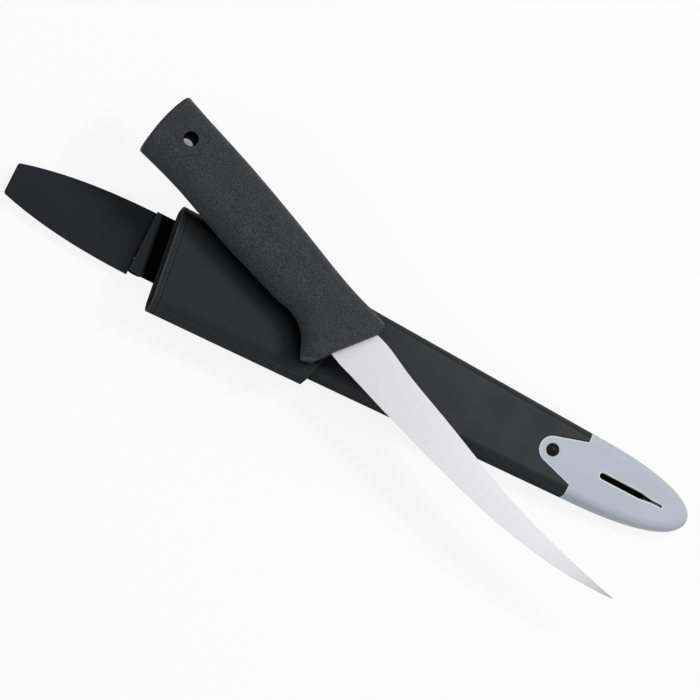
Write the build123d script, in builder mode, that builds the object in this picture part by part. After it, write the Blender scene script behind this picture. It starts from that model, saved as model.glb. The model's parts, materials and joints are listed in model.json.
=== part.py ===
"""Fillet knife lying across its belt sheath, in millimetres.

X runs along the sheath from its mouth to its nose, +Y is the side where the spine of the sheathed blade lies,
+Z is the front. The origin is the middle of the sheath's flat back.
"""

import os
from math import cos, radians, sin, tan

from build123d import *

os.makedirs("parts", exist_ok=True)

# Sheath, with places along it measured from the mouth's upper corner
sheath_length = 259.8
mouth_lean = 7.0
throat_height = 24.5
throat_width = 46.6
throat_end_width = 42.0
throat_front_round = 5.8
throat_back_round = 7.0
throat_wall = 1.7
mouth_chamfer = 0.5
step_round = 0.8
lip_length = 3.0
groove_depth = 0.3
groove_width = 0.6
step_place = 87.0
step_lean = -15.0
pocket_place = 73.0

# Flat blade part behind the throat, which the tip continues
case_start_height = 22.8
case_end_height = 14.07
case_start_half = 18.8
case_end_half = 15.33
case_front_round = 4.0
case_back_round = 3.0
case_wall = 2.0
case_overlap = 16.0
channel_margin = 23.0

# Tip in two halves, with a lobe on each that reaches over the sheath
tip_length = 54.8
nose_reach = 7.0
nose_fullness_share = 0.60
tip_wall = 1.8
lobe_thick = 1.8
lobe_radius = 6.4
lobe_base_half = 10.7
lobe_root = 1.6
lobe_shelf = 1.6
lobe_gap = 0.15
lobe_chamfer = 0.45
pin_reach = 13.2
spigot_clearance = 1.3
spigot_gap = 0.1

# Sharpening slot, and the holder of the two ceramic rods behind it
slot_reach_share = 0.1935
slot_length_share = 0.365
slot_width = 2.8
notch_length = 6.0
slit_length = 5.0
slit_width = 1.0
slot_wall = 1.3
slot_chamfer = 0.35
rod_diameter = 2.8
rod_length = 14.0
rod_angle = 22.0
rod_overlap = 2.6
rod_gap = 0.1
rod_clearance = 0.1
holder_width = 10.4
holder_length = 17.0
slot_floor = 0.9

# Pins through the lobes
pin_head_diameter = 5.7
pin_head_edge = 0.4
pin_dome = 1.0
pin_shank_diameter = 3.2

# Belt clip and its hinge
clip_length = 71.6
clip_width = 30.0
clip_end_width = 14.5
clip_thick = 2.4
clip_corner = 1.5
clip_edge_round = 0.7
clip_side = 2.0
hinge_shift = 1.2
hinge_width = 28.4
clip_near_shares = (0.40, 0.97)
clip_far_shares = (0.72, 0.65)
barrel_diameter = 6.0
barrel_reach = 5.0
barrel_gap = 0.15
lug_width = 6.2
lug_gap = 0.3
lug_root = 9.0
web_gap = 0.3
web_reach = 3.0
hinge_pin_diameter = 2.6
hinge_pin_inset = 0.8
hinge_fit = 0.05

# Blade, in the knife's own frame: x to the tip, y to the spine, from the spine's corner at the handle
blade_length = 153.0
blade_depth = 20.8
blade_thick = 2.2
tip_thick = 0.8
edge_thick = 0.25
tip_rise = 8.0
spine_straight = 86.0
spine_power = 1.5
edge_line_share = 0.42
edge_power = 4
blade_station_shares = (0.0, 0.12, 0.27, 0.42, 0.56, 0.68, 0.79, 0.88, 0.95, 0.995)
heel_buried = 10.0
tang_margin = 27.0
tang_top = 4.0
tang_depth = 12.0
tang_hole_diameter = 5.0
tang_hole_shares = (0.32, 0.62, 0.88)

# Handle, in the same frame
handle_length = 131.0
handle_depth = 33.5
handle_thick = 19.5
handle_round_share = 0.46
lip_lean = 20.0
front_lean = 17.0
guard_lean = 48.0
guard_depth = 28.5
butt_round = 1.5
butt_top_in = 0.6
butt_low_in = 6.0
lanyard_diameter = 6.4
lanyard_margin = 15.0
lanyard_depth = 11.2
lanyard_wall = 1.8
core_start = 10.0
core_margin = 7.0
core_thick = 11.0
core_round = 4.0

# Rows of shares from butt to guard: of the length, the depth above and below the spine, and the thickness
handle_row_shares = (
    (1.030, 0.035, 0.915, 0.900),
    (0.960, 0.045, 0.890, 0.915),
    (0.900, 0.055, 0.860, 0.930),
    (0.800, 0.078, 0.822, 0.955),
    (0.650, 0.105, 0.805, 0.985),
    (0.500, 0.115, 0.785, 1.000),
    (0.360, 0.115, 0.740, 1.000),
    (0.280, 0.112, 0.706, 0.990),
    (0.225, 0.113, 0.679, 0.980),
    (0.185, 0.117, 0.712, 0.975),
    (0.150, 0.124, 0.790, 0.975),
    (0.120, 0.134, 0.900, 0.980),
    (0.095, 0.144, 0.985, 0.985),
    (0.050, 0.158, 1.030, 0.985),
    (-0.025, 0.175, 1.050, 0.960),
)
# Rows for the core: of its length, and of the handle's depth above and below the spine
core_row_shares = ((1.0, -0.02, 0.70), (0.25, -0.02, 0.56), (0.0, -0.02, 0.58))

# Where the knife lies on the throat
knife_place = 99.0
knife_side = 6.0
knife_turn = -24.6
rest_gap = 0.3

overrun = 2.0

# Places that the sheath's length sets
ear_place = sheath_length - tip_length
nose_place = ear_place + nose_reach
channel_place = ear_place - channel_margin
pin_place = ear_place - pin_reach
slot_reach = slot_reach_share * tip_length
slot_length = slot_length_share * tip_length
slot_place = ear_place + slot_reach
rod_place = slot_place + slot_length + notch_length + slit_length - rod_overlap
spigot_length = slot_reach - slot_wall - spigot_clearance

# Places that the handle's length sets
tang_length = handle_length - tang_margin
lanyard_place = handle_length - lanyard_margin
core_end = handle_length - core_margin


def station(distance):
    """X of a place that far from the mouth's upper corner."""
    return distance - sheath_length / 2


case_slope = (case_start_height - case_end_height) / (ear_place - step_place)
case_taper = (case_start_half - case_end_half) / (ear_place - step_place)


def case_half(distance):
    """Half the width of the blade part at a place along the sheath."""
    return case_end_half + case_taper * (ear_place - distance)


def case_front(distance):
    """Height of the sloping front at a place along the sheath."""
    return case_end_height + case_slope * (ear_place - distance)


# The tip parts where its front half has room for the front rod under its wall
rod_room = case_front(rod_place + rod_length / 2) - tip_wall - rod_clearance
parting_height = rod_room - rod_diameter - rod_gap


def front_plane(distance, depth=0):
    """A plane on the sloping front, or that far below it."""
    slope = Plane(
        origin=(station(distance), 0, case_front(distance)),
        x_dir=(1, 0, -case_slope),
        z_dir=(case_slope, 0, 1),
    )
    return slope.offset(-depth)


def leaning_plane(distance, lean):
    """An upright plane across the sheath, whose +Y end leans towards the mouth."""
    angle = radians(lean)
    return Plane(
        origin=(station(distance), 0, 0),
        x_dir=(-sin(angle), cos(angle), 0),
        z_dir=(cos(angle), sin(angle), 0),
    )


def throat_section(distance, lean, top, width, inset):
    """The throat's section on a leaning plane, drawn in by its wall."""
    stretch = 1 / cos(radians(lean))
    high = (top - inset) * stretch
    low = (top - width + inset) * stretch
    with BuildSketch(leaning_plane(distance, lean)) as section:
        with BuildLine():
            Polyline(
                (low, inset),
                (high, inset),
                (high, throat_height - inset),
                (low, throat_height - inset),
                close=True,
            )
        make_face()
        fillet(section.vertices().group_by(Axis.Y)[0], throat_back_round - inset)
        fillet(section.vertices().group_by(Axis.Y)[-1], throat_front_round - inset)
    return section.sketch


def case_outline(start, inset):
    """The blade part and tip seen from the front, drawn in by a wall."""
    near = case_half(start) - inset
    far = case_half(nose_place) - inset
    nose = sheath_length - inset
    reach = (nose - nose_place) * nose_fullness_share
    with BuildSketch() as outline:
        with BuildLine():
            Line((station(start), 0), (station(start), near))
            Line((station(start), near), (station(nose_place), far))
            Bezier(
                (station(nose_place), far),
                (station(nose_place) + reach, far - case_taper * reach),
                (station(nose), far * nose_fullness_share),
                (station(nose), 0),
            )
            mirror(about=Plane.XZ)
        make_face()
    return outline.sketch


def case_hollow(start, end, inset):
    """The room inside the blade part and tip between two places, with a wall of that thickness."""
    with BuildPart() as hollow:
        with BuildSketch(Plane.XY.offset(inset)):
            add(case_outline(start, inset))
        extrude(amount=throat_height)
        split(bisect_by=front_plane(ear_place, inset), keep=Keep.BOTTOM)
        split(bisect_by=Plane.YZ.offset(station(end)), keep=Keep.BOTTOM)
    return hollow.part


def lobe_outline(gap):
    """A lobe seen from the front: a round end over its pin, flaring to the ears."""
    with BuildSketch() as outline:
        with BuildLine():
            CenterArc((station(pin_place), 0), lobe_radius, 0, 360)
            Line((station(ear_place), -lobe_base_half), (station(ear_place), lobe_base_half))
        make_hull()
        with Locations((station(ear_place) + lobe_root / 2, 0)):
            Rectangle(lobe_root, 2 * lobe_base_half)
        if gap:
            offset(amount=gap, kind=Kind.ARC)
    return outline.sketch


def front_lobe(gap):
    """The front lobe's plate, or with a gap the recess that it lies in."""
    with BuildPart() as plate:
        add(lobe_outline(gap))
        extrude(amount=throat_height)
        split(bisect_by=front_plane(ear_place, lobe_thick), keep=Keep.TOP)
        if not gap:
            split(bisect_by=front_plane(ear_place), keep=Keep.BOTTOM)
            chamfer(plate.faces().sort_by(Axis.Z)[-1].edges(), lobe_chamfer)
    return plate.part


def slot_outline(wall):
    """The sharpening slot seen from the front: a round start, a notch and a slit."""
    wide = slot_width / 2
    thin = slit_width / 2
    start = station(slot_place) + wide
    notch = station(slot_place + slot_length)
    slit = notch + notch_length
    end = slit + slit_length
    with BuildSketch() as outline:
        with BuildLine():
            Polyline((start, wide), (notch, wide), (slit, thin), (end, thin), (end, -thin))
            Polyline((end, -thin), (slit, -thin), (notch, -wide), (start, -wide))
            ThreePointArc((start, -wide), (station(slot_place), 0), (start, wide))
        make_face()
        if wall:
            offset(amount=wall, kind=Kind.ARC)
    return outline.sketch


# Outer form of the blade part and tip, which the sheath body and the tip halves share
with BuildPart() as case_form:
    add(case_outline(step_place - case_overlap, 0))
    extrude(amount=throat_height)
    split(bisect_by=front_plane(ear_place), keep=Keep.BOTTOM)
    front_edges = case_form.faces().sort_by(Axis.Z)[-1].edges().sort_by(Axis.X)[1:]
    fillet(front_edges, case_front_round)
    back_edges = case_form.faces().sort_by(Axis.Z)[0].edges().sort_by(Axis.X)[1:]
    fillet(back_edges, case_back_round)

mouth_place = case_half(0) * tan(radians(mouth_lean))
with BuildPart() as throat_form:
    loft(
        sections=[
            throat_section(mouth_place, mouth_lean, case_half(0), throat_width, 0),
            throat_section(step_place, step_lean, case_half(step_place), throat_end_width, 0),
        ],
        ruled=True,
    )
    chamfer(throat_form.faces().sort_by(Axis.X)[0].edges(), mouth_chamfer)
    fillet(throat_form.faces().sort_by(Axis.X)[-1].edges(), step_round)
with BuildPart() as throat_pocket:
    loft(
        sections=[
            throat_section(mouth_place - overrun, mouth_lean, case_half(0), throat_width, throat_wall),
            throat_section(
                pocket_place, step_lean, case_half(pocket_place), throat_end_width, throat_wall
            ),
        ],
        ruled=True,
    )

# A fine groove that sets off the lip round the mouth, on its front and sides
lip_width = throat_width - (throat_width - throat_end_width) * lip_length / step_place
with BuildPart() as lip_groove:
    with BuildSketch(leaning_plane(mouth_place + lip_length, mouth_lean)):
        Rectangle(2 * throat_width, 2 * (throat_height + overrun))
    extrude(amount=groove_width)
    lip_section = throat_section(
        mouth_place + lip_length, mouth_lean, case_half(lip_length), lip_width, groove_depth
    )
    extrude(lip_section, amount=groove_width, mode=Mode.SUBTRACT)
    split(bisect_by=Plane.XY.offset(throat_back_round), keep=Keep.TOP)

# The hinge stands behind the back, ahead of the mouth
hinge_x = station(0) - barrel_reach
hinge_z = -barrel_diameter / 2
lug_centre = (hinge_width - lug_width) / 2
knuckle_width = hinge_width - 2 * lug_width - 2 * lug_gap


def hinge_plane(side):
    """An upright plane along the sheath, through the hinge line, at a distance from the hinge's middle."""
    across = clip_side + hinge_shift + side
    return Plane(origin=(hinge_x, across, hinge_z), x_dir=(1, 0, 0), z_dir=(0, -1, 0))


# Bores for the lobe pins, through lobe and shelf, each square to its own face
shelf_depth = lobe_thick + lobe_shelf
with BuildPart() as pin_bores:
    with BuildSketch(front_plane(pin_place).offset(-shelf_depth)):
        Circle(pin_shank_diameter / 2)
    extrude(amount=shelf_depth + overrun)
    with BuildSketch():
        with Locations((station(pin_place), 0)):
            Circle(pin_shank_diameter / 2)
    extrude(amount=shelf_depth)

# Sheath body: throat, blade part and hinge lugs in one moulding
spigot_inset = tip_wall + spigot_gap
spigot_place = ear_place + spigot_length
with BuildPart() as sheath_body:
    add(case_form.part)
    split(bisect_by=Plane.YZ.offset(station(ear_place)), keep=Keep.BOTTOM)
    add(throat_form.part)
    # The spigot that the tip halves close on
    with BuildSketch(Plane.YZ.offset(station(ear_place) - overrun)) as spigot:
        with Locations((0, case_front(spigot_place) / 2)):
            RectangleRounded(
                2 * case_half(spigot_place) - 2 * spigot_inset,
                case_front(spigot_place) - 2 * spigot_inset,
                case_front_round - spigot_inset,
            )
    extrude(amount=spigot_length + overrun)
    for side in (-lug_centre, lug_centre):
        with BuildSketch(hinge_plane(side)):
            Circle(barrel_diameter / 2)
            with BuildLine():
                Polyline(
                    (0, 0),
                    (barrel_reach + lug_root, 0),
                    (barrel_reach + lug_root, throat_wall - hinge_z),
                    (0, throat_wall - hinge_z),
                    close=True,
                )
            make_face()
        extrude(amount=lug_width / 2, both=True)
    # The web that closes the gap between the mouth and the leaf, clear of the knuckle
    with BuildSketch(hinge_plane(0)):
        with BuildLine():
            Polyline(
                (-web_reach, web_gap - hinge_z),
                (barrel_reach + lug_root, web_gap - hinge_z),
                (barrel_reach + lug_root, throat_wall - hinge_z),
                (-web_reach, throat_wall - hinge_z),
                close=True,
            )
        make_face()
    extrude(amount=hinge_width / 2, both=True)
    add(lip_groove.part, mode=Mode.SUBTRACT)
    add(throat_pocket.part, mode=Mode.SUBTRACT)
    add(case_hollow(pocket_place - overrun, channel_place, case_wall), mode=Mode.SUBTRACT)
    add(case_hollow(channel_place - overrun, nose_place + overrun, shelf_depth), mode=Mode.SUBTRACT)
    # Recesses under the lobes, front and back
    add(front_lobe(lobe_gap), mode=Mode.SUBTRACT)
    add(lobe_outline(lobe_gap))
    extrude(amount=lobe_thick, mode=Mode.SUBTRACT)
    add(pin_bores.part, mode=Mode.SUBTRACT)
    with BuildSketch(hinge_plane(0)):
        Circle(hinge_pin_diameter / 2)
    extrude(amount=hinge_width, both=True, mode=Mode.SUBTRACT)
sheath_body.part.label = "sheath_body"
export_step(sheath_body.part, "parts/sheath_body.step")


def rod_plane(turn, level):
    """A plane across a rod at its middle, square to its length."""
    angle = radians(turn)
    return Plane(
        origin=(station(rod_place), 0, parting_height + level),
        x_dir=(-sin(angle), cos(angle), 0),
        z_dir=(cos(angle), sin(angle), 0),
    )


rod_level = rod_gap + rod_diameter / 2

# The room inside the tip, which the spigot closes
with BuildPart() as tip_room:
    add(case_hollow(ear_place - overrun, sheath_length, tip_wall))

# The tip before it is parted, with the slot open through its front wall
with BuildPart() as tip_form:
    add(case_form.part)
    split(bisect_by=Plane.YZ.offset(station(ear_place)), keep=Keep.TOP)
    add(tip_room.part, mode=Mode.SUBTRACT)
    add(front_lobe(0))
    add(lobe_outline(0))
    extrude(amount=lobe_thick)
    with BuildSketch(Plane.XY.offset(parting_height)):
        add(slot_outline(0))
    extrude(amount=throat_height, mode=Mode.SUBTRACT)
    front_face = tip_form.faces().filter_by(lambda face: face.inner_wires()).sort_by(Axis.Z)[-1]
    chamfer(front_face.inner_wires()[0].edges(), slot_chamfer)
    add(pin_bores.part, mode=Mode.SUBTRACT)

with BuildPart() as tip_front:
    add(tip_form.part)
    split(bisect_by=Plane.XY.offset(parting_height), keep=Keep.TOP)
tip_front.part.label = "tip_front"
export_step(tip_front.part, "parts/tip_front.step")

with BuildPart() as tip_back:
    add(tip_form.part)
    split(bisect_by=Plane.XY.offset(parting_height), keep=Keep.BOTTOM)
    # The flat head of the back pin lies flush in the lobe
    with BuildSketch():
        with Locations((station(pin_place), 0)):
            Circle(pin_head_diameter / 2)
    extrude(amount=pin_dome, mode=Mode.SUBTRACT)
tip_back.part.label = "tip_back"
export_step(tip_back.part, "parts/tip_back.step")

# Holder between the halves: a block under the slot, whose rod bores run out at its far end
rod_places = (("ceramic_rod_front", rod_angle, rod_level), ("ceramic_rod_back", -rod_angle, -rod_level))
with BuildPart() as rod_holder:
    add(slot_outline(slot_wall))
    extrude(amount=throat_height)
    with BuildSketch():
        with Locations((station(rod_place), 0)):
            Rectangle(holder_length, holder_width)
    extrude(amount=throat_height)
    add(tip_room.part, mode=Mode.INTERSECT)
    with BuildSketch(Plane.XY.offset(tip_wall + slot_floor)):
        add(slot_outline(0))
    extrude(amount=throat_height, mode=Mode.SUBTRACT)
    for name, turn, level in rod_places:
        with BuildSketch(rod_plane(turn, level).offset(-rod_length / 2)):
            Circle(rod_diameter / 2)
        extrude(amount=rod_length + holder_length, mode=Mode.SUBTRACT)
rod_holder.part.label = "rod_holder"
export_step(rod_holder.part, "parts/rod_holder.step")

# Crossed rods, one above the other, whose near ends stand apart as the V that hones the edge
for name, turn, level in rod_places:
    with BuildPart() as rod:
        with BuildSketch(rod_plane(turn, level)):
            Circle(rod_diameter / 2)
        extrude(amount=rod_length / 2, both=True)
    rod.part.label = name
    export_step(rod.part, f"parts/{name}.step")

# Front pin: a low dome on the lobe and a shank through the shelf, square to the sloping front
head_radius = pin_head_diameter / 2
shank_radius = pin_shank_diameter / 2
pin_seat = front_plane(pin_place)
dome_top = pin_head_edge + pin_dome
with BuildPart() as tip_pin_front:
    with BuildSketch(Plane(origin=pin_seat.origin, x_dir=pin_seat.x_dir, z_dir=-pin_seat.y_dir)):
        with BuildLine():
            Polyline((0, dome_top), (0, -shelf_depth), (shank_radius, -shelf_depth), (shank_radius, 0))
            Polyline((shank_radius, 0), (head_radius, 0), (head_radius, pin_head_edge))
            TangentArc((0, dome_top), (head_radius, pin_head_edge), tangent=(1, 0))
        make_face()
    revolve(axis=Axis(pin_seat.origin, pin_seat.z_dir))
tip_pin_front.part.label = "tip_pin_front"
export_step(tip_pin_front.part, "parts/tip_pin_front.step")

pin_x = station(pin_place)
with BuildPart() as tip_pin_back:
    with BuildSketch():
        with Locations((pin_x, 0)):
            Circle(head_radius)
    extrude(amount=pin_dome)
    with BuildSketch():
        with Locations((pin_x, 0)):
            Circle(pin_shank_diameter / 2)
    extrude(amount=shelf_depth)
tip_pin_back.part.label = "tip_pin_back"
export_step(tip_pin_back.part, "parts/tip_pin_back.step")

# Belt clip: a tapering leaf whose knuckle turns between the sheath's lugs
leaf_root = hinge_x - barrel_diameter / 2 - barrel_gap
leaf_end = station(0) - clip_length
leaf_half = clip_width / 2
end_half = clip_end_width / 2


def leaf_point(shares):
    """A control point of the leaf's side: its shares of the length and of the narrowing still to come."""
    along, wide = shares
    return (leaf_root + along * (leaf_end - leaf_root), end_half + wide * (leaf_half - end_half))


with BuildPart() as belt_clip:
    with BuildSketch(Plane((0, clip_side, -clip_thick))) as leaf:
        with BuildLine():
            Line((leaf_root, 0), (leaf_root, leaf_half))
            Bezier(
                (leaf_root, leaf_half),
                leaf_point(clip_near_shares),
                leaf_point(clip_far_shares),
                (leaf_end, end_half),
            )
            Line((leaf_end, end_half), (leaf_end, 0))
            mirror(about=Plane.XZ)
        make_face()
        fillet(leaf.vertices().group_by(Axis.X)[0], clip_corner)
    extrude(amount=clip_thick)
    leaf_edges = belt_clip.faces().sort_by(Axis.Z)[-1].edges().sort_by(Axis.X)[:-1]
    fillet(leaf_edges, clip_edge_round)
    with BuildSketch(hinge_plane(0)):
        Circle(barrel_diameter / 2)
        with BuildLine():
            Polyline(
                (0, -hinge_z - clip_thick),
                (0, -hinge_z),
                (leaf_root - hinge_x - overrun, -hinge_z),
                (leaf_root - hinge_x - overrun, -hinge_z - clip_thick),
                close=True,
            )
        make_face()
    extrude(amount=knuckle_width / 2, both=True)
    with BuildSketch(hinge_plane(0)):
        Circle(hinge_pin_diameter / 2 + hinge_fit)
    extrude(amount=hinge_width, both=True, mode=Mode.SUBTRACT)
belt_clip.part.label = "belt_clip"
export_step(belt_clip.part, "parts/belt_clip.step")

with BuildPart() as hinge_pin:
    with BuildSketch(hinge_plane(0)):
        Circle(hinge_pin_diameter / 2)
    extrude(amount=hinge_width / 2 - hinge_pin_inset, both=True)
hinge_pin.part.label = "hinge_pin"
export_step(hinge_pin.part, "parts/hinge_pin.step")

# The knife lies flat on the throat, its blade across the sheath's lower edge
knife_level = throat_height + rest_gap + handle_thick / 2
knife_plane = Plane(
    origin=(station(knife_place), knife_side, knife_level),
    x_dir=(cos(radians(knife_turn)), sin(radians(knife_turn)), 0),
    z_dir=(0, 0, 1),
)


def knife_across(place):
    """A plane across the knife, whose x points to the spine and whose y points up."""
    return Plane(
        origin=knife_plane.from_local_coords(Vector(place, 0, 0)),
        x_dir=knife_plane.y_dir,
        z_dir=knife_plane.x_dir,
    )


def spine_rise(share):
    """How far the spine has swept up at a share of the blade's length."""
    beyond = max(0, share * blade_length - spine_straight)
    return tip_rise * (beyond / (blade_length - spine_straight)) ** spine_power


def edge_drop(share):
    """How far the edge lies below the straight spine at a share of the blade's length."""
    swept = edge_line_share * share + (1 - edge_line_share) * share**edge_power
    return blade_depth - (blade_depth + tip_rise) * swept


def blade_section(share):
    """The wedge of the blade across its length."""
    spine_half = (blade_thick + share * (tip_thick - blade_thick)) / 2
    top = spine_rise(share)
    low = -edge_drop(share)
    with BuildSketch(knife_across(share * blade_length)) as section:
        with BuildLine():
            Polyline(
                (top, spine_half),
                (low, edge_thick / 2),
                (low, -edge_thick / 2),
                (top, -spine_half),
                close=True,
            )
        make_face()
    return section.sketch


with BuildPart() as blade:
    loft(sections=[blade_section(share) for share in blade_station_shares])
    extrude(blade_section(0), amount=-heel_buried)
    with BuildSketch(knife_plane.offset(-blade_thick / 2)):
        with Locations((-(tang_length + heel_buried - overrun) / 2, -tang_top - tang_depth / 2)):
            Rectangle(tang_length - heel_buried + overrun, tang_depth)
        for share in tang_hole_shares:
            with Locations((-share * tang_length, -tang_top - tang_depth / 2)):
                Circle(tang_hole_diameter / 2, mode=Mode.SUBTRACT)
    extrude(amount=blade_thick)
blade.part.label = "blade"
export_step(blade.part, "parts/blade.step")

# The handle's hard core, moulded round the tang and through its holes


def core_section(row):
    """The core's section at a row of shares."""
    along, above, below = row
    top = above * handle_depth
    low = -below * handle_depth
    place = -core_start - along * (core_end - core_start)
    with BuildSketch(knife_across(place)) as section:
        with Locations(((top + low) / 2, 0)):
            RectangleRounded(top - low, core_thick, core_round)
    return section.sketch


with BuildPart() as handle_core:
    loft(sections=[core_section(row) for row in core_row_shares], ruled=True)
    with BuildSketch(knife_plane.offset(-handle_thick)):
        with Locations((-lanyard_place, -lanyard_depth)):
            Circle(lanyard_diameter / 2 + lanyard_wall)
    extrude(amount=2 * handle_thick, mode=Mode.SUBTRACT)
    add(blade.part, mode=Mode.SUBTRACT)
handle_core.part.label = "handle_core"
export_step(handle_core.part, "parts/handle_core.step")

# The soft grip moulded over the core


def handle_section(row):
    """The handle's section at a row of shares, its faces flat and its edges full."""
    along, above, below, thick = row
    top = above * handle_depth
    low = -below * handle_depth
    with BuildSketch(knife_across(-along * handle_length)) as section:
        with Locations(((top + low) / 2, 0)):
            RectangleRounded(top - low, thick * handle_thick, handle_round_share * thick * handle_thick)
    return section.sketch


guard_x = -guard_depth * tan(radians(front_lean))
with BuildPart() as handle_grip:
    loft(sections=[handle_section(row) for row in handle_row_shares])
    with BuildSketch(knife_plane.offset(-handle_thick)):
        with BuildLine():
            Polyline(
                (butt_top_in - handle_length, handle_depth / 4),
                (-handle_depth * tan(radians(lip_lean)), handle_depth),
                (0, 0),
                (guard_x, -guard_depth),
                (guard_x - handle_depth * tan(radians(guard_lean)), -guard_depth - handle_depth),
                (butt_low_in - handle_length, -handle_depth),
            )
            ThreePointArc(
                (butt_low_in - handle_length, -handle_depth),
                (-handle_length, -handle_depth / 3),
                (butt_top_in - handle_length, handle_depth / 4),
            )
        make_face()
    extrude(amount=2 * handle_thick, mode=Mode.INTERSECT)
    along_knife = Axis(knife_plane.origin, knife_plane.x_dir)
    fillet(handle_grip.faces().sort_by(along_knife)[0].edges(), butt_round)
    add(handle_core.part, mode=Mode.SUBTRACT)
    add(blade.part, mode=Mode.SUBTRACT)
    with BuildSketch(knife_plane.offset(-handle_thick)):
        with Locations((-lanyard_place, -lanyard_depth)):
            Circle(lanyard_diameter / 2)
    extrude(amount=2 * handle_thick, mode=Mode.SUBTRACT)
handle_grip.part.label = "handle_grip"
export_step(handle_grip.part, "parts/handle_grip.step")
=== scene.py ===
"""Looks of the fillet knife that lies across its belt sheath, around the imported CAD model, in metres."""

import json
from math import atan2, cos, radians, sin

import bpy
from mathutils import Matrix, Vector


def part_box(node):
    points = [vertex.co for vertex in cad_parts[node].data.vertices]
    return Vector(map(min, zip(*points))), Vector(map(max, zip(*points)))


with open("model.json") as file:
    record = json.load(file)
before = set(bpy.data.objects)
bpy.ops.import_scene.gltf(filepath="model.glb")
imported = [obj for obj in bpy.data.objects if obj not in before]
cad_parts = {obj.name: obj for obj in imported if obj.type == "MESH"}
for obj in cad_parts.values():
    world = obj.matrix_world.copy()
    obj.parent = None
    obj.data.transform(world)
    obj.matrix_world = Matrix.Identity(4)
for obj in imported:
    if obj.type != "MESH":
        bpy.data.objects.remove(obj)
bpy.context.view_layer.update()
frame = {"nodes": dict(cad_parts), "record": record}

# Camera, as the photograph was taken: nearly from above, with a long lens
view_azimuth = radians(-115)
view_tilt = radians(12)
view_roll = radians(26.91)
view_target = Vector((-0.03567, 0.00162, 0))
view_distance = 2.5
focal_pixels = 5718.5
image_pixels = 700
sensor_width = 36.0

mm = 0.001

# Floor that the sheath rests on, touching the hinge barrel and the nose. The camera sees it mostly as plain
# white, and the rest of it keeps the shadow. Reflections show it dark where the object covers it, between
# these two shares of open space over it
floor_reach = 3.0
floor_gap = 0.0001
floor_white = 0.95
floor_glow_share = 0.88
floor_roughness = 0.9
contact_reach = 0.06
contact_samples = 8
contact_dark = 0.45
contact_light = 0.97

# Shadow of the handle's free end on the floor, which shows through the lanyard hole: it fades to the sides
# of a line along the handle
knife_turn = radians(-24.6)
shade_start = Vector((-0.1390, 0.0526, 0))
shade_length = 0.038
shade_far = 0.0165
shade_deepest = 0.20

# Lamps: a small high one on the spine's side, whose shadows lie on the throat, a fill from the belly's
# side, and an even sky
sky_strength = 0.38
key_direction = Vector((0.42, 0.40, 1.00))
key_distance = 0.95
key_size = 0.20
key_power = 4.3
fill_direction = Vector((-0.95, -0.30, 0.75))
fill_distance = 1.2
fill_size = 0.35
fill_power = 1.3

# Painted shadow of the mouth on the hinge web near the mouth, between these places along the leaning
# mouth's normal, and painted light that makes the web paler further from the mouth
mouth_lean = radians(7)
web_shadow_start = -0.1328
web_shadow_end = -0.12605
web_blur = 0.0012
web_back = -0.1400
web_light_lift = 1.8

# The mouth's rim has a painted highlight, paler over this short way
rim_start = -0.1261
rim_end = -0.1254
rim_blur = 0.0002
rim_highlight_lift = 2.1

# The lanyard hole's wall has painted shade, dark out to this far from its middle line
lanyard_middle = (-0.141034, 0.044105, 0)
lanyard_reach = 0.00325
lanyard_blur = 0.2 * mm

# Shares that all the finishes use: the middle part of a noise, how open a corner is where its painted shade
# is darkest and where it has none, how alike the rounded and the flat normal are where the painted edge
# highlight starts and where it is full, and the rays that find corners and edges
noise_low = 0.3
noise_high = 0.7
corner_deep = 0.42
corner_unshaded = 0.86
edge_flat = 0.997
edge_widest = 0.86
corner_rays = 8
edge_rays = 6

# Mouldings: gloss, change of the roughness, the share of the colour left in a corner's painted shade, and
# how far a face's normal leans to Z on an upright side and on a level one
plastic_specular = 0.08
plastic_change = 0.05
plastic_corner_shade = 0.06
upright_side = 0.20
level_side = 0.65

# Ground steel: how far its scratches lower and raise the roughness
scratch_gloss = 0.03
scratch_matt = 0.04

# Grip: the sizes of its grain, the noise range of the crests, and how much paler the crests and the edges'
# painted highlight are
grip_grain = 0.62 * mm
grip_pebble = 0.9 * mm
crest_low = 0.38
crest_high = 0.66
crest_lift = 3.6
edge_highlight_lift = 2.4


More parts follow.
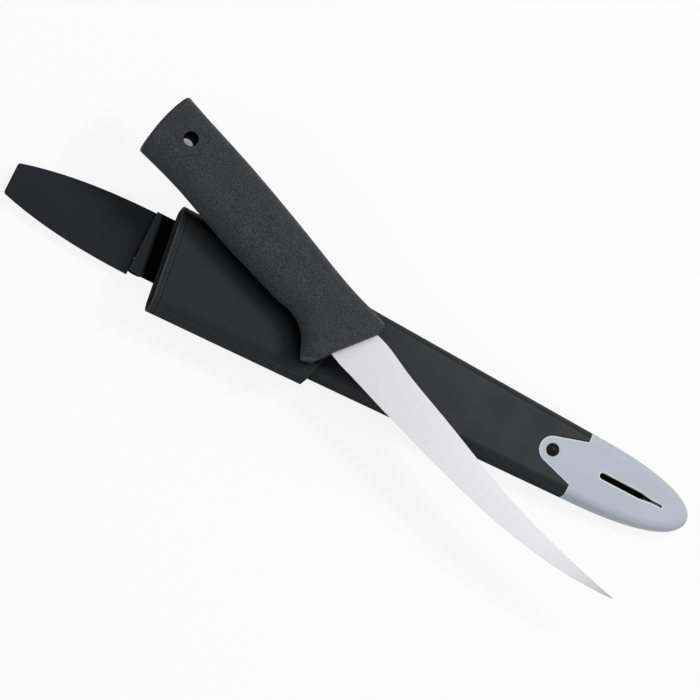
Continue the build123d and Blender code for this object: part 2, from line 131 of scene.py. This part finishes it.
class Surface:
    """A material in the making, with the nodes that give it tone, grain, painted edge highlights and
    painted shade in the row frame.
    """

    def __init__(self, name, colour, roughness, specular=0.5, metallic=0.0):
        self.material = bpy.data.materials.new(name)
        self.material.use_nodes = True
        self.nodes = self.material.node_tree.nodes
        self.links = self.material.node_tree.links
        self.shader = self.nodes["Principled BSDF"]
        self.shader.inputs["Base Color"].default_value = (*colour, 1)
        self.shader.inputs["Roughness"].default_value = roughness
        self.shader.inputs["Specular IOR Level"].default_value = specular
        self.shader.inputs["Metallic"].default_value = metallic
        self.colour = colour
        self.place = self.add("ShaderNodeTexCoord").outputs["Object"]

    def add(self, kind, **settings):
        """A new node with these properties set."""
        node = self.nodes.new(kind)
        for name, value in settings.items():
            setattr(node, name, value)
        return node

    def link(self, source, target):
        """Joins two sockets."""
        self.links.new(source, target)

    def stretched(self, turn, stretch):
        """The row frame turned about Z and scaled, for a texture that runs one way."""
        mapping = self.add("ShaderNodeMapping", vector_type="TEXTURE")
        mapping.inputs["Rotation"].default_value = (0, 0, turn)
        mapping.inputs["Scale"].default_value = stretch
        self.link(self.place, mapping.inputs["Vector"])
        return mapping.outputs["Vector"]

    def noise(self, size, detail=2.0, place=None):
        """Cloudy noise whose patches are about that size."""
        texture = self.add("ShaderNodeTexNoise")
        texture.inputs["Scale"].default_value = 1 / size
        texture.inputs["Detail"].default_value = detail
        self.link(place or self.place, texture.inputs["Vector"])
        return texture.outputs["Fac"]

    def pebbles(self, size):
        """Distance to the middle of the nearest grain, for a leathery surface."""
        texture = self.add("ShaderNodeTexVoronoi", feature="SMOOTH_F1")
        texture.inputs["Scale"].default_value = 1 / size
        self.link(self.place, texture.inputs["Vector"])
        return texture.outputs["Distance"]

    def ramp(self, value, low, high, from_low=0.0, from_high=1.0):
        """A value mapped from one range to another."""
        mapped = self.add("ShaderNodeMapRange")
        for name, bound in zip(
            ("From Min", "From Max", "To Min", "To Max"), (from_low, from_high, low, high)
        ):
            mapped.inputs[name].default_value = bound
        self.link(value, mapped.inputs["Value"])
        return mapped.outputs["Result"]

    def blend(self, share, near, far):
        """A colour between two colours or sockets."""
        mix = self.add("ShaderNodeMix", data_type="RGBA")
        self.link(share, mix.inputs["Factor"])
        for side, value in (("A", near), ("B", far)):
            socket = next(s for s in mix.inputs if s.name == side and s.type == "RGBA")
            if isinstance(value, tuple):
                socket.default_value = (*value, 1)
            else:
                self.link(value, socket)
        return next(s for s in mix.outputs if s.type == "RGBA")

    def tone(self, size, darker, lighter):
        """Slow changes of the colour over the surface, as shares of it."""
        low = tuple(c * darker for c in self.colour)
        high = tuple(c * lighter for c in self.colour)
        self.tint = self.blend(self.noise(size), low, high)
        self.link(self.tint, self.shader.inputs["Base Color"])

    def sheen_change(self, size, low, high):
        """Slow changes of the roughness."""
        changed = self.ramp(self.noise(size), low, high, noise_low, noise_high)
        self.link(changed, self.shader.inputs["Roughness"])

    def band(self, turn, start, end, blur):
        """Share that is 1 between two places along X of a frame turned about Z, and 0 elsewhere."""
        apart = self.add("ShaderNodeSeparateXYZ")
        self.link(self.stretched(turn, (1, 1, 1)), apart.inputs["Vector"])
        both = self.add("ShaderNodeMath", operation="MULTIPLY")
        self.link(self.ramp(apart.outputs["X"], 0.0, 1.0, start, start + blur), both.inputs[0])
        self.link(self.ramp(apart.outputs["X"], 1.0, 0.0, end - blur / 4, end), both.inputs[1])
        return both.outputs["Value"]

    def near(self, middle, inner, outer):
        """Share that is 1 within a distance of an upright line, and 0 further out."""
        flat = self.add("ShaderNodeVectorMath", operation="MULTIPLY")
        flat.inputs[1].default_value = (1, 1, 0)
        self.link(self.place, flat.inputs[0])
        away = self.add("ShaderNodeVectorMath", operation="DISTANCE")
        away.inputs[1].default_value = middle
        self.link(flat.outputs["Vector"], away.inputs[0])
        return self.ramp(away.outputs["Value"], 1.0, 0.0, inner, outer)

    def sides(self, upright, level):
        """Share that is 1 where the surface stands upright and 0 where it lies level."""
        apart = self.add("ShaderNodeSeparateXYZ")
        self.link(self.add("ShaderNodeTexCoord").outputs["Normal"], apart.inputs["Vector"])
        size = self.add("ShaderNodeMath", operation="ABSOLUTE")
        self.link(apart.outputs["Z"], size.inputs[0])
        return self.ramp(size.outputs["Value"], 1.0, 0.0, upright, level)

    def dull(self, share):
        """Full roughness where the share is 1."""
        most = self.add("ShaderNodeMath", operation="MAXIMUM")
        rough = self.shader.inputs["Roughness"]
        self.link(rough.links[0].from_socket, most.inputs[0])
        self.link(share, most.inputs[1])
        self.link(most.outputs["Value"], rough)

    def shade_corners(self, reach, darkest, extra_shade=None):
        """Painted shade: colour and reflection that sink in deep corners and narrow gaps, and in any
        further given stretch.
        """
        hidden = self.add("ShaderNodeAmbientOcclusion", samples=corner_rays)
        hidden.inputs["Distance"].default_value = reach
        share = self.ramp(hidden.outputs["AO"], 1.0, 0.0, corner_deep, corner_unshaded)
        if extra_shade:
            most = self.add("ShaderNodeMath", operation="MAXIMUM")
            self.link(share, most.inputs[0])
            self.link(extra_shade, most.inputs[1])
            share = most.outputs["Value"]
        # Painted shade: the colour and the reflection darken by this share
        dark = tuple(c * darkest for c in self.colour)
        self.tint = self.blend(share, self.tint, dark)
        self.link(self.tint, self.shader.inputs["Base Color"])
        unshaded, dull = (1.0, 1.0, 1.0), (darkest, darkest, darkest)
        self.link(self.blend(share, unshaded, dull), self.shader.inputs["Specular Tint"])

    def bump(self, height, depth, strength=1.0):
        """Relief of that depth on top of what relief there is."""
        bump = self.add("ShaderNodeBump")
        bump.inputs["Distance"].default_value = depth
        bump.inputs["Strength"].default_value = strength
        self.link(height, bump.inputs["Height"])
        below = self.shader.inputs["Normal"]
        if below.is_linked:
            self.link(below.links[0].from_socket, bump.inputs["Normal"])
        self.link(bump.outputs["Normal"], below)

    def soft_edges(self, radius, colour, share, widest=edge_widest):
        """Rounded edges that catch the light, with a painted highlight where they are sharpest."""
        bevel = self.add("ShaderNodeBevel", samples=edge_rays)
        bevel.inputs["Radius"].default_value = radius
        self.link(bevel.outputs["Normal"], self.shader.inputs["Normal"])
        flat = self.add("ShaderNodeNewGeometry").outputs["Normal"]
        facing = self.add("ShaderNodeVectorMath", operation="DOT_PRODUCT")
        self.link(bevel.outputs["Normal"], facing.inputs[0])
        self.link(flat, facing.inputs[1])
        # Painted highlight: the sharpest edges turn to the given colour
        edge_highlight = self.ramp(facing.outputs["Value"], share, 0.0, widest, edge_flat)
        self.tint = self.blend(edge_highlight, self.tint, colour)
        self.link(self.tint, self.shader.inputs["Base Color"])


def moulded_plastic(
    name, colour, roughness, edge_highlight_colour, edge_radius=0.35 * mm, widest=edge_widest, shade_reach=10 * mm,
    webbed=False,
):
    """Smooth moulded plastic with a faint satin grain, slow tone, painted edge highlights and painted
    corner shade.
    """
    surface = Surface(name, colour, roughness, specular=plastic_specular)
    surface.tone(size=38 * mm, darker=0.90, lighter=1.12)
    painted_mouth_shadow = None
    if webbed:
        # Painted light: the web away from the mouth is paler
        painted_web_light = surface.band(mouth_lean, web_back, web_shadow_start, web_blur)
        surface.tint = surface.blend(painted_web_light, surface.tint, tuple(web_light_lift * c for c in colour))
        # Painted highlight on the mouth's rim
        painted_rim_highlight = surface.band(mouth_lean, rim_start, rim_end, rim_blur)
        surface.tint = surface.blend(painted_rim_highlight, surface.tint, tuple(rim_highlight_lift * c for c in colour))
        # Painted shadow of the mouth on the web near it
        painted_mouth_shadow = surface.band(mouth_lean, web_shadow_start, web_shadow_end, web_blur)
    # Painted highlight on the sharpest edges
    surface.soft_edges(edge_radius, edge_highlight_colour, share=0.8, widest=widest)
    # Painted shade in corners and gaps, and the mouth's painted shadow on the web
    surface.shade_corners(shade_reach, plastic_corner_shade, painted_mouth_shadow)
    surface.sheen_change(size=16 * mm, low=roughness - plastic_change, high=roughness + plastic_change)
    if webbed:
        surface.dull(surface.sides(upright_side, level_side))
    surface.bump(surface.noise(0.45 * mm, detail=3.0), depth=0.012 * mm, strength=0.7)
    return surface.material


def grained_grip(name, colour):
    """Soft overmoulded grip with a leathery grain, paler on the crests."""
    surface = Surface(name, colour, roughness=0.60, specular=0.18)
    surface.tone(size=24 * mm, darker=0.86, lighter=1.14)
    fine = surface.noise(grip_grain, detail=3.0)
    crests = surface.ramp(fine, 0.0, 1.0, crest_low, crest_high)
    surface.tint = surface.blend(crests, surface.tint, tuple(crest_lift * c for c in colour))
    # Painted highlight on the sharpest edges
    surface.soft_edges(0.5 * mm, tuple(edge_highlight_lift * c for c in colour), share=0.6, widest=0.94)
    # Painted shade on the lanyard hole's wall, and in corners and gaps
    hole_shade = surface.near(lanyard_middle, lanyard_reach, lanyard_reach + lanyard_blur)
    surface.shade_corners(reach=10 * mm, darkest=0.0, extra_shade=hole_shade)
    surface.sheen_change(size=5 * mm, low=0.50, high=0.66)
    surface.dull(hole_shade)
    surface.bump(surface.pebbles(grip_pebble), depth=0.22 * mm, strength=0.8)
    surface.bump(fine, depth=0.30 * mm, strength=0.9)
    return surface.material


def satin_steel(name, colour, roughness, turn, scratch_length, scratch_width):
    """Ground steel whose fine scratches run one way."""
    surface = Surface(name, colour, roughness, metallic=1.0)
    surface.tone(size=45 * mm, darker=0.97, lighter=1.03)
    across = surface.stretched(turn, (scratch_width, scratch_length, scratch_width))
    scratches = surface.add("ShaderNodeTexNoise")
    scratches.inputs["Scale"].default_value = 1.0
    scratches.inputs["Detail"].default_value = 3.0
    surface.link(across, scratches.inputs["Vector"])
    surface.link(
        surface.ramp(
            scratches.outputs["Fac"], roughness - scratch_gloss, roughness + scratch_matt,
            noise_low, noise_high,
        ),
        surface.shader.inputs["Roughness"],
    )
    surface.bump(scratches.outputs["Fac"], depth=0.0003 * mm, strength=0.5)
    return surface.material


def fired_ceramic(name, colour):
    """Fine unglazed ceramic with a faint speckle."""
    surface = Surface(name, colour, roughness=0.55)
    surface.tone(size=2 * mm, darker=0.93, lighter=1.02)
    surface.soft_edges(0.2 * mm, colour, share=0.2)
    surface.bump(surface.noise(0.2 * mm, detail=3.0), depth=0.01 * mm, strength=0.7)
    return surface.material


finishes = {
    "grip_rubber": grained_grip("grip_rubber", colour=(0.014, 0.015, 0.017)),
    "core_plastic": moulded_plastic(
        "core_plastic", colour=(0.004, 0.004, 0.0042), roughness=0.7, edge_highlight_colour=(0.01, 0.01, 0.01)
    ),
    "sheath_plastic": moulded_plastic(
        "sheath_plastic", colour=(0.0240, 0.0251, 0.0284), roughness=0.41,
        edge_highlight_colour=(0.075, 0.077, 0.082), edge_radius=0.45 * mm, widest=0.95, webbed=True,
    ),
    "clip_plastic": moulded_plastic(
        "clip_plastic", colour=(0.0186, 0.0192, 0.0232), roughness=0.60,
        edge_highlight_colour=(0.050, 0.051, 0.056), edge_radius=0.4 * mm, widest=0.95,
    ),
    # The tip's edges take a white painted highlight
    "tip_plastic": moulded_plastic(
        "tip_plastic", colour=(0.50, 0.528, 0.597), roughness=0.42,
        edge_highlight_colour=(1.0, 1.0, 1.0), edge_radius=0.8 * mm, widest=0.985, shade_reach=2 * mm,
    ),
    "pin_plastic": moulded_plastic(
        "pin_plastic", colour=(0.007, 0.007, 0.008), roughness=0.40, edge_highlight_colour=(0.03, 0.03, 0.033)
    ),
    "ceramic": fired_ceramic("ceramic", colour=(0.86, 0.86, 0.83)),
    "blade_steel": satin_steel(
        "blade_steel", colour=(0.50, 0.495, 0.515), roughness=0.30, turn=knife_turn,
        scratch_length=16 * mm, scratch_width=0.07 * mm,
    ),
    "pin_steel": satin_steel(
        "pin_steel", colour=(0.06, 0.06, 0.062), roughness=0.45, turn=0,
        scratch_length=6 * mm, scratch_width=0.1 * mm,
    ),
}
for part in frame["record"]["subparts"]:
    node = frame["nodes"][part["node"]]
    for slot in node.material_slots:
        slot.link = "OBJECT"
        slot.material = finishes[part["material_slot"]]


def camera():
    """The photograph's camera: its tilt and turn about the target, and its long lens."""
    back = Vector((sin(view_tilt) * cos(view_azimuth), sin(view_tilt) * sin(view_azimuth), cos(view_tilt)))
    level = (Vector((1, 0, 0)) - back * back.x).normalized()
    upright = back.cross(level)
    right = cos(view_roll) * level + sin(view_roll) * upright
    up = cos(view_roll) * upright - sin(view_roll) * level
    data = bpy.data.cameras.new("camera")
    data.sensor_width = sensor_width
    data.lens = focal_pixels / image_pixels * sensor_width
    data.clip_start = view_distance / 100
    data.clip_end = view_distance * 10
    view = bpy.data.objects.new("camera", data)
    bpy.context.collection.objects.link(view)
    place = view_target + back * view_distance
    view.matrix_world = Matrix.Translation(place) @ Matrix((right, up, back)).transposed().to_4x4()
    bpy.context.scene.camera = view


def floor():
    """A white floor under the hinge barrel and the nose, which keeps the object's shadow."""
    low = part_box("sheath_body")[0]
    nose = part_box("tip_back")[1][0]
    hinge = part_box("hinge_pin")
    barrel = (hinge[0][0] + hinge[1][0]) / 2
    lean = atan2(-low[2], nose - barrel)
    mesh = bpy.data.meshes.new("floor")
    corners = [(x, y, 0) for x, y in ((-1, -1), (1, -1), (1, 1), (-1, 1))]
    mesh.from_pydata([Vector(c) * floor_reach for c in corners], [], [(0, 1, 2, 3)])
    sheet = bpy.data.objects.new("floor", mesh)
    bpy.context.collection.objects.link(sheet)
    sheet.matrix_world = Matrix.Translation((nose, 0, -floor_gap)) @ Matrix.Rotation(-lean, 4, "Y")

    material = bpy.data.materials.new("floor_white")
    material.use_nodes = True
    nodes, links = material.node_tree.nodes, material.node_tree.links
    matt = nodes["Principled BSDF"]
    matt.inputs["Roughness"].default_value = floor_roughness
    matt.inputs["Specular IOR Level"].default_value = 0
    glow = nodes.new("ShaderNodeEmission")
    seen = nodes.new("ShaderNodeLightPath")
    either = nodes.new("ShaderNodeMath")
    either.operation = "MAXIMUM"
    place = nodes.new("ShaderNodeNewGeometry")
    along = nodes.new("ShaderNodeMapping")
    along.vector_type = "TEXTURE"
    along.inputs["Location"].default_value = shade_start
    along.inputs["Rotation"].default_value = (0, 0, knife_turn)
    apart = nodes.new("ShaderNodeSeparateXYZ")
    nearest = nodes.new("ShaderNodeClamp")
    nearest.inputs["Max"].default_value = shade_length
    beyond = nodes.new("ShaderNodeMath")
    beyond.operation = "SUBTRACT"
    level = nodes.new("ShaderNodeCombineXYZ")
    away = nodes.new("ShaderNodeVectorMath")
    away.operation = "LENGTH"
    open_floor = nodes.new("ShaderNodeMapRange")
    open_floor.interpolation_type = "SMOOTHSTEP"
    open_floor.inputs["From Max"].default_value = shade_far
    open_floor.inputs["To Min"].default_value = shade_deepest
    white = nodes.new("ShaderNodeVectorMath")
    white.operation = "SCALE"
    white.inputs[0].default_value = (floor_white, floor_white, floor_white)
    glowing = nodes.new("ShaderNodeMath")
    glowing.operation = "MULTIPLY"
    glowing.inputs[1].default_value = floor_glow_share
    share = nodes.new("ShaderNodeMath")
    share.operation = "MULTIPLY"
    mix = nodes.new("ShaderNodeMixShader")
    contact = nodes.new("ShaderNodeAmbientOcclusion")
    contact.samples = contact_samples
    contact.inputs["Distance"].default_value = contact_reach
    lightened = nodes.new("ShaderNodeMapRange")
    lightened.inputs["From Min"].default_value = contact_dark
    lightened.inputs["From Max"].default_value = contact_light
    reflected = nodes.new("ShaderNodeMath")
    reflected.operation = "MULTIPLY"
    links.new(seen.outputs["Is Camera Ray"], either.inputs[0])
    links.new(seen.outputs["Is Glossy Ray"], reflected.inputs[0])
    links.new(contact.outputs["AO"], lightened.inputs["Value"])
    links.new(lightened.outputs["Result"], reflected.inputs[1])
    links.new(reflected.outputs["Value"], either.inputs[1])
    links.new(place.outputs["Position"], along.inputs["Vector"])
    links.new(along.outputs["Vector"], apart.inputs["Vector"])
    links.new(apart.outputs["X"], nearest.inputs["Value"])
    links.new(apart.outputs["X"], beyond.inputs[0])
    links.new(nearest.outputs["Result"], beyond.inputs[1])
    links.new(beyond.outputs["Value"], level.inputs["X"])
    links.new(apart.outputs["Y"], level.inputs["Y"])
    links.new(level.outputs["Vector"], away.inputs[0])
    links.new(away.outputs["Value"], open_floor.inputs["Value"])
    links.new(open_floor.outputs["Result"], white.inputs["Scale"])
    links.new(white.outputs["Vector"], matt.inputs["Base Color"])
    links.new(open_floor.outputs["Result"], glowing.inputs[0])
    links.new(glowing.outputs["Value"], share.inputs[1])
    links.new(either.outputs["Value"], share.inputs[0])
    links.new(share.outputs["Value"], mix.inputs["Fac"])
    links.new(matt.outputs["BSDF"], mix.inputs[1])
    links.new(glow.outputs["Emission"], mix.inputs[2])
    links.new(mix.outputs["Shader"], nodes["Material Output"].inputs["Surface"])
    mesh.materials.append(material)


def sky():
    """An even white sky: plain light on the object, and pure white where it is seen."""
    world = bpy.data.worlds.new("sky")
    world.use_nodes = True
    nodes, links = world.node_tree.nodes, world.node_tree.links
    background = nodes["Background"]
    background.inputs["Color"].default_value = (1, 1, 1, 1)
    seen = nodes.new("ShaderNodeLightPath")
    either = nodes.new("ShaderNodeMath")
    either.operation = "MAXIMUM"
    strength = nodes.new("ShaderNodeMapRange")
    strength.inputs["To Min"].default_value = sky_strength
    strength.inputs["To Max"].default_value = 1
    links.new(seen.outputs["Is Camera Ray"], either.inputs[0])
    links.new(seen.outputs["Is Glossy Ray"], either.inputs[1])
    links.new(either.outputs["Value"], strength.inputs["Value"])
    links.new(strength.outputs["Result"], background.inputs["Strength"])
    bpy.context.scene.world = world


def lamp(name, direction, distance, size, power):
    """A square soft lamp that far from the object, turned to it."""
    data = bpy.data.lights.new(name, "AREA")
    data.size = size
    data.energy = power
    light = bpy.data.objects.new(name, data)
    bpy.context.collection.objects.link(light)
    place = view_target + direction.normalized() * distance
    light.matrix_world = Matrix.Translation(place) @ direction.to_track_quat("Z", "Y").to_matrix().to_4x4()


camera()
floor()
sky()
lamp("key", key_direction, key_distance, key_size, key_power)
lamp("fill", fill_direction, fill_distance, fill_size, fill_power)
bpy.context.scene.view_settings.view_transform = "Standard"
